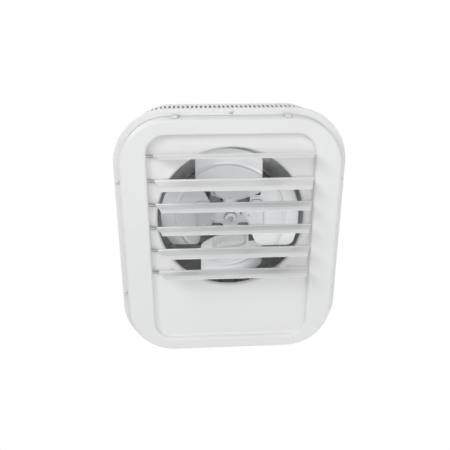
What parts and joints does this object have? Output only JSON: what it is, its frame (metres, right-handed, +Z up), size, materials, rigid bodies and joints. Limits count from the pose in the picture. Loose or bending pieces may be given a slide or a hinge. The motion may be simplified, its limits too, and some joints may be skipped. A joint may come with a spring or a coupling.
{
  "type": "ceiling mounted fan heater",
  "caption": "Shallow surface-mounted fan heater: rounded casing with perforated sides, louvered round outlet, axial fan, coil elements and wiring space.",
  "frame": {"origin": "middle of the back plate, on the face that lies against the ceiling", "axes": "+Z up into the ceiling; the unit hangs down and blows towards -Z; +Y towards the end with the wiring space; +X along the louvers, away from their springs"},
  "size_m": [0.3726, 0.4326, 0.1549],
  "materials": {
    "casing_white": "satin white powder coat",
    "louver_white": "satin white powder coat",
    "zinc": "zinc-plated sheet steel",
    "steel": "bright steel",
    "aluminium": "rolled sheet",
    "motor_grey": "grey enamel",
    "element_steel": "heat-darkened stainless tube",
    "nylon": "natural nylon",
    "black_plastic": "matte black"
  },
  "bodies": {
    "housing": {"back_plate": "zinc", "bracket_screw_left": "zinc", "bracket_screw_right": "zinc", "bulkhead_screw_left": "zinc", "bulkhead_screw_right": "zinc", "ground_screw": "zinc", "trim_screw_top": "zinc", "trim_screw_bottom": "zinc", "trim_screw_upper_left": "zinc", "trim_screw_upper_right": "zinc", "trim_screw_lower_left": "zinc", "trim_screw_lower_right": "zinc", "hook_clip_left": "zinc", "hook_clip_right": "zinc", "motor_bracket": "zinc", "element_support_1": "zinc", "element_support_2": "zinc", "element_support_3": "zinc", "wiring_bulkhead": "zinc", "panel_screw_left": "zinc", "panel_screw_right": "zinc", "casing_upper": "casing_white", "casing_lower": "casing_white", "trim_upper": "casing_white", "trim_lower": "casing_white", "front_panel": "casing_white", "louver_spring_1": "steel", "louver_spring_2": "steel", "louver_spring_3": "steel", "louver_spring_4": "steel", "louver_spring_5": "steel", "louver_spring_6": "steel", "limit_thermostat": "steel", "panel_post_left": "steel", "panel_post_right": "steel", "motor_front_bell": "motor_grey", "motor_stator": "motor_grey", "motor_rear_bell": "motor_grey", "heating_element_inner": "element_steel", "heating_element_outer": "element_steel", "terminal_block": "nylon", "fan_relay": "black_plastic", "cable_grommet": "black_plastic"},
    "louver_1": {"louver_1": "louver_white"},
    "louver_2": {"louver_2": "louver_white"},
    "louver_3": {"louver_3": "louver_white"},
    "louver_4": {"louver_4": "louver_white"},
    "louver_5": {"louver_5": "louver_white"},
    "louver_6": {"louver_6": "louver_white"},
    "fan": {"fan_spider": "zinc", "fan_hub": "zinc", "motor_shaft": "steel", "motor_rotor": "steel", "fan_blade_1": "aluminium", "fan_blade_2": "aluminium", "fan_blade_3": "aluminium", "fan_blade_4": "aluminium"}
  },
  "joints": [
    {"name": "louver_1_pivot", "type": "hinge", "parent": "housing", "child": "louver_1", "pos_m": [0, -0.1473, -0.1168], "axis": [1, 0, 0], "range_deg": [-16.5, 43.5]},
    {"name": "louver_2_pivot", "type": "hinge", "parent": "housing", "child": "louver_2", "pos_m": [0, -0.1074, -0.1168], "axis": [1, 0, 0], "range_deg": [-32.6, 27.4]},
    {"name": "louver_3_pivot", "type": "hinge", "parent": "housing", "child": "louver_3", "pos_m": [0, -0.0675, -0.1168], "axis": [1, 0, 0], "range_deg": [-24.1, 35.9]},
    {"name": "louver_4_pivot", "type": "hinge", "parent": "housing", "child": "louver_4", "pos_m": [0, -0.0276, -0.1168], "axis": [1, 0, 0], "range_deg": [-21.1, 38.9]},
    {"name": "louver_5_pivot", "type": "hinge", "parent": "housing", "child": "louver_5", "pos_m": [0, 0.0123, -0.1168], "axis": [1, 0, 0], "range_deg": [-22.8, 37.2]},
    {"name": "louver_6_pivot", "type": "hinge", "parent": "housing", "child": "louver_6", "pos_m": [0, 0.0522, -0.1168], "axis": [1, 0, 0], "range_deg": [-18.3, 41.7]},
    {"name": "fan_spin", "type": "hinge", "parent": "housing", "child": "fan", "pos_m": [0, -0.0375, -0.1], "axis": [0, 0, 1], "continuous": true}
  ]
}
